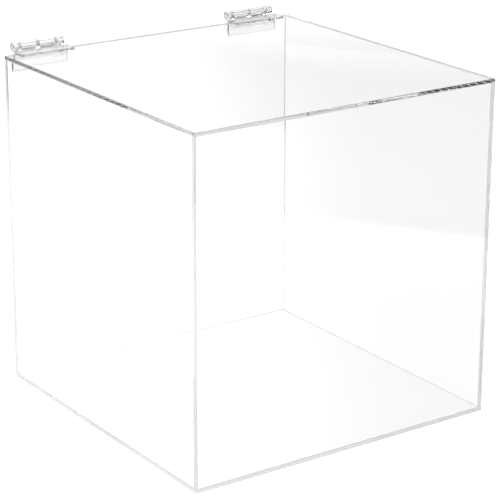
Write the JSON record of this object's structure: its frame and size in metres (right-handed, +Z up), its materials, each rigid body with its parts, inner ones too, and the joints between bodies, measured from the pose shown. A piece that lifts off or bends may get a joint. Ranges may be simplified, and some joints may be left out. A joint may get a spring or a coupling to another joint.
{
  "type": "clear donation box with hinged lid",
  "caption": "Clear acrylic cube box with bonded walls and a flat lid that swings up on moulded clear hinges at the back; gifts or tickets go in under the lid.",
  "frame": {"origin": "middle of the base panel's underside, on the surface the box stands on", "axes": "+X to the right across the front, +Y from the front to the hinged back, +Z up"},
  "size_m": [0.3048, 0.3141, 0.3141],
  "materials": {
    "clear_acrylic_sheet": "clear, polished",
    "moulded_hinge_acrylic": "clear, moulded",
    "hinge_pin_acrylic": "clear, drawn rod"
  },
  "bodies": {
    "box": {"base_panel": "clear_acrylic_sheet", "front_panel": "clear_acrylic_sheet", "back_panel": "clear_acrylic_sheet", "left_panel": "clear_acrylic_sheet", "right_panel": "clear_acrylic_sheet", "left_hinge_back_leaf": "moulded_hinge_acrylic", "left_hinge_pin": "hinge_pin_acrylic", "right_hinge_back_leaf": "moulded_hinge_acrylic", "right_hinge_pin": "hinge_pin_acrylic"},
    "lid": {"lid_panel": "clear_acrylic_sheet", "left_hinge_lid_leaf": "moulded_hinge_acrylic", "right_hinge_lid_leaf": "moulded_hinge_acrylic"}
  },
  "joints": [
    {"name": "lid_hinge", "type": "hinge", "parent": "box", "child": "lid", "pos_m": [0, 0.1578, 0.3102], "axis": [-1, 0, 0], "range_deg": [0, 265]}
  ]
}
